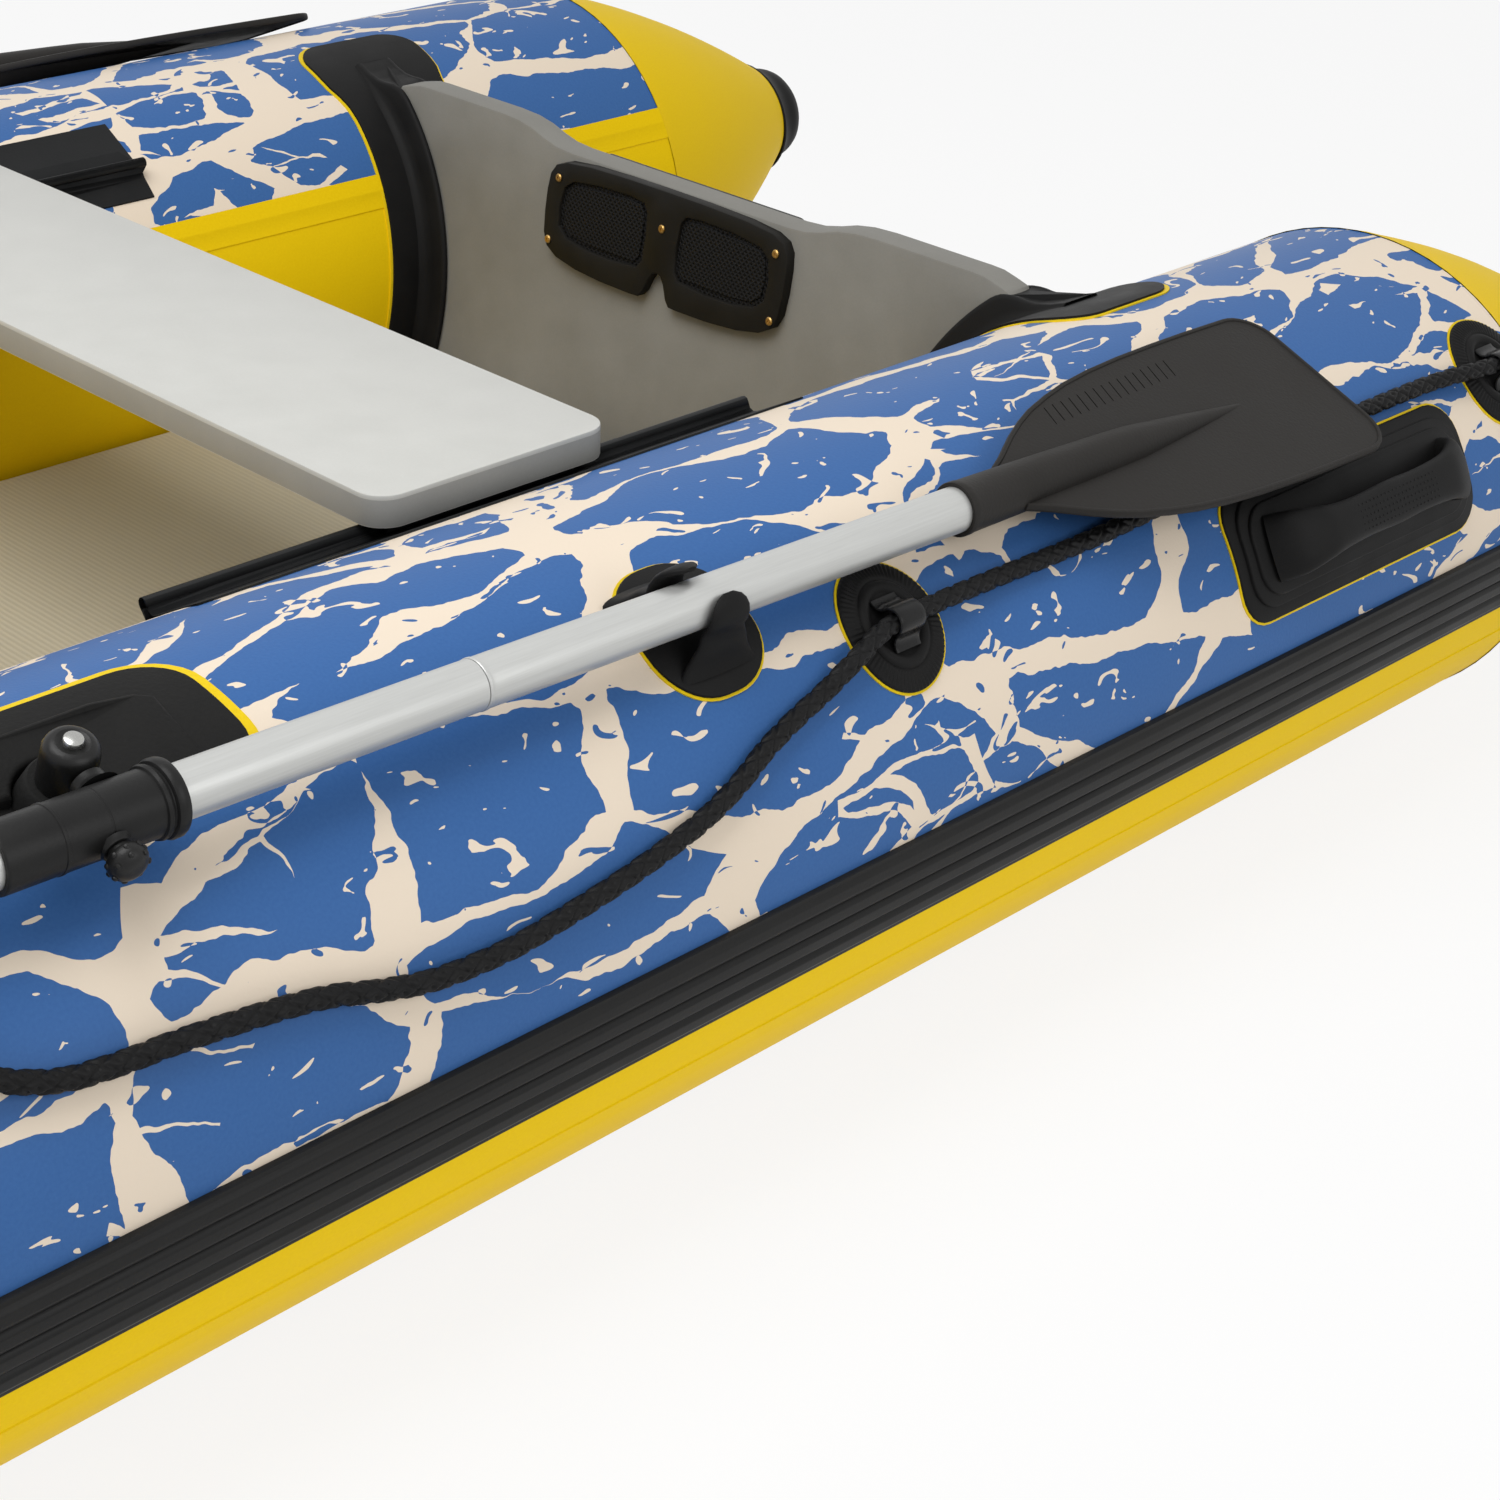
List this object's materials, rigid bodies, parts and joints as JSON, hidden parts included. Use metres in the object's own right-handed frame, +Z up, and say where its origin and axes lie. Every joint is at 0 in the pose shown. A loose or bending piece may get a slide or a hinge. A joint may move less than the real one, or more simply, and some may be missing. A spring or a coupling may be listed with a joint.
{
  "type": "inflatable boat",
  "caption": "Inflatable boat with printed side tubes, an air deck, a wooden transom and sliding seat, carry handles, a grab rope and a pair of oars in swivelling locks",
  "frame": {"origin": "on the floor, under the middle of the boat's length and beam", "axes": "+X to starboard, +Y to the bow, +Z up"},
  "size_m": [1.5068, 2.8452, 0.5582],
  "materials": {
    "port_upper_panel": "printed coated fabric, satin",
    "starboard_upper_panel": "printed coated fabric, satin",
    "bow_upper_panel": "printed coated fabric, satin",
    "port_lower_panel": "yellow coated fabric, satin",
    "starboard_lower_panel": "yellow coated fabric, satin",
    "bow_lower_panel": "yellow coated fabric, satin",
    "port_stern_cone": "yellow coated fabric, satin",
    "starboard_stern_cone": "yellow coated fabric, satin",
    "port_cone_cap": "moulded, matte",
    "starboard_cone_cap": "moulded, matte",
    "rub_strake": "extruded, ribbed",
    "bottom_skin": "coated fabric",
    "air_deck": "ribbed deck fabric, matte",
    "transom_board": "painted",
    "port_transom_holder": "moulded, matte",
    "starboard_transom_holder": "moulded, matte",
    "inner_motor_pad": "grained, with brass screws",
    "outer_motor_pad": "grained",
    "seat_board": "painted",
    "port_seat_slide": "moulded",
    "starboard_seat_slide": "moulded",
    "port_seat_rail": "coated fabric",
    "starboard_seat_rail": "coated fabric",
    "port_oarlock_base": "moulded, yellow outline",
    "starboard_oarlock_base": "moulded, yellow outline",
    "port_oarlock_swivel": "moulded",
    "starboard_oarlock_swivel": "moulded",
    "port_dip_bolt": "bright",
    "starboard_dip_bolt": "bright",
    "port_oar_sleeve": "moulded",
    "starboard_oar_sleeve": "moulded",
    "port_clamp_knob": "moulded",
    "starboard_clamp_knob": "moulded",
    "port_oar_inner_shaft": "anodised, satin",
    "starboard_oar_inner_shaft": "anodised, satin",
    "port_oar_outer_shaft": "anodised, satin",
    "starboard_oar_outer_shaft": "anodised, satin",
    "port_oar_blade": "moulded, satin",
    "starboard_oar_blade": "moulded, satin",
    "port_oar_grip": "moulded",
    "starboard_oar_grip": "moulded",
    "port_oar_clip": "moulded, yellow outline",
    "starboard_oar_clip": "moulded, yellow outline",
    "port_aft_rope_holder": "moulded, fluted",
    "port_middle_rope_holder": "moulded, fluted",
    "port_fore_rope_holder": "moulded, fluted",
    "starboard_aft_rope_holder": "moulded, fluted",
    "starboard_middle_rope_holder": "moulded, fluted",
    "starboard_fore_rope_holder": "moulded, fluted",
    "port_grab_rope": "braided",
    "starboard_grab_rope": "braided",
    "port_carry_handle": "moulded, yellow outline",
    "starboard_carry_handle": "moulded, yellow outline",
    "bow_handle": "moulded, matte",
    "port_valve_body": "moulded",
    "port_valve_cap": "moulded",
    "starboard_valve_body": "moulded",
    "starboard_valve_cap": "moulded",
    "bow_valve_body": "moulded",
    "bow_valve_cap": "moulded"
  },
  "bodies": {
    "hull": {"port_upper_panel": "port_upper_panel", "starboard_upper_panel": "starboard_upper_panel", "bow_upper_panel": "bow_upper_panel", "port_lower_panel": "port_lower_panel", "starboard_lower_panel": "starboard_lower_panel", "bow_lower_panel": "bow_lower_panel", "port_stern_cone": "port_stern_cone", "starboard_stern_cone": "starboard_stern_cone", "port_cone_cap": "port_cone_cap", "starboard_cone_cap": "starboard_cone_cap", "rub_strake": "rub_strake", "bottom_skin": "bottom_skin", "air_deck": "air_deck", "transom_board": "transom_board", "port_transom_holder": "port_transom_holder", "starboard_transom_holder": "starboard_transom_holder", "inner_motor_pad": "inner_motor_pad", "outer_motor_pad": "outer_motor_pad", "port_seat_rail": "port_seat_rail", "starboard_seat_rail": "starboard_seat_rail", "port_oarlock_base": "port_oarlock_base", "starboard_oarlock_base": "starboard_oarlock_base", "port_oar_clip": "port_oar_clip", "starboard_oar_clip": "starboard_oar_clip", "port_aft_rope_holder": "port_aft_rope_holder", "port_middle_rope_holder": "port_middle_rope_holder", "port_fore_rope_holder": "port_fore_rope_holder", "starboard_aft_rope_holder": "starboard_aft_rope_holder", "starboard_middle_rope_holder": "starboard_middle_rope_holder", "starboard_fore_rope_holder": "starboard_fore_rope_holder", "port_grab_rope": "port_grab_rope", "starboard_grab_rope": "starboard_grab_rope", "port_carry_handle": "port_carry_handle", "starboard_carry_handle": "starboard_carry_handle", "bow_handle": "bow_handle", "port_valve_body": "port_valve_body", "starboard_valve_body": "starboard_valve_body", "bow_valve_body": "bow_valve_body"},
    "seat": {"seat_board": "seat_board", "port_seat_slide": "port_seat_slide", "starboard_seat_slide": "starboard_seat_slide"},
    "port_swivel": {"port_oarlock_swivel": "port_oarlock_swivel", "port_dip_bolt": "port_dip_bolt"},
    "port_sleeve": {"port_oar_sleeve": "port_oar_sleeve"},
    "port_oar": {"port_oar_inner_shaft": "port_oar_inner_shaft", "port_oar_outer_shaft": "port_oar_outer_shaft", "port_oar_blade": "port_oar_blade", "port_oar_grip": "port_oar_grip"},
    "port_knob": {"port_clamp_knob": "port_clamp_knob"},
    "starboard_swivel": {"starboard_oarlock_swivel": "starboard_oarlock_swivel", "starboard_dip_bolt": "starboard_dip_bolt"},
    "starboard_sleeve": {"starboard_oar_sleeve": "starboard_oar_sleeve"},
    "starboard_oar": {"starboard_oar_inner_shaft": "starboard_oar_inner_shaft", "starboard_oar_outer_shaft": "starboard_oar_outer_shaft", "starboard_oar_blade": "starboard_oar_blade", "starboard_oar_grip": "starboard_oar_grip"},
    "starboard_knob": {"starboard_clamp_knob": "starboard_clamp_knob"},
    "port_cap": {"port_valve_cap": "port_valve_cap"},
    "starboard_cap": {"starboard_valve_cap": "starboard_valve_cap"},
    "bow_cap": {"bow_valve_cap": "bow_valve_cap"}
  },
  "joints": [
    {"name": "seat_slide", "type": "slide", "parent": "hull", "child": "seat", "axis": [0, 1, 0], "range_m": [-0.15, 0.16]},
    {"name": "port_oar_swing", "type": "hinge", "parent": "hull", "child": "port_swivel", "pos_m": [-0.61513, 0.3075, 0.43871], "axis": [0.3746, 0, -0.9272], "range_deg": [0, 135], "deforming": ["port_oar_clip"]},
    {"name": "port_oar_dip", "type": "hinge", "parent": "port_swivel", "child": "port_sleeve", "pos_m": [-0.655, 0.3075, 0.4226], "axis": [-0.9272, 0, -0.3746], "range_deg": [0, 3], "deforming": ["port_oar_clip"]},
    {"name": "port_oar_reach", "type": "slide", "parent": "port_sleeve", "child": "port_oar", "axis": [0, 0.9997, 0.0244], "range_m": [-0.03, 0.1]},
    {"name": "port_knob_turn", "type": "hinge", "parent": "port_sleeve", "child": "port_knob", "pos_m": [-0.67521, 0.3197, 0.41473], "axis": [-0.9271, 0.0092, -0.3746], "range_deg": [0, 360]},
    {"name": "starboard_oar_swing", "type": "hinge", "parent": "hull", "child": "starboard_swivel", "pos_m": [0.61513, 0.3075, 0.43871], "axis": [0.3746, 0, 0.9272], "range_deg": [0, 135], "deforming": ["starboard_oar_clip"]},
    {"name": "starboard_oar_dip", "type": "hinge", "parent": "starboard_swivel", "child": "starboard_sleeve", "pos_m": [0.655, 0.3075, 0.4226], "axis": [-0.9272, 0, 0.3746], "range_deg": [0, 3], "deforming": ["starboard_oar_clip"]},
    {"name": "starboard_oar_reach", "type": "slide", "parent": "starboard_sleeve", "child": "starboard_oar", "axis": [0, 0.9997, 0.0244], "range_m": [-0.03, 0.1]},
    {"name": "starboard_knob_turn", "type": "hinge", "parent": "starboard_sleeve", "child": "starboard_knob", "pos_m": [0.67521, 0.3197, 0.41473], "axis": [0.9271, 0.0092, -0.3746], "range_deg": [0, 360]},
    {"name": "port_cap_turn", "type": "hinge", "parent": "hull", "child": "port_cap", "pos_m": [-0.39807, 0.3375, 0.37542], "axis": [0.6088, 0, 0.7934], "range_deg": [0, 90]},
    {"name": "starboard_cap_turn", "type": "hinge", "parent": "hull", "child": "starboard_cap", "pos_m": [0.39807, 0.3375, 0.37542], "axis": [-0.6088, 0, 0.7934], "range_deg": [0, 90]},
    {"name": "bow_cap_turn", "type": "hinge", "parent": "hull", "child": "bow_cap", "pos_m": [0.03542, 1.07436, 0.49337], "axis": [-0.0273, -0.6125, 0.79], "range_deg": [0, 90]}
  ]
}
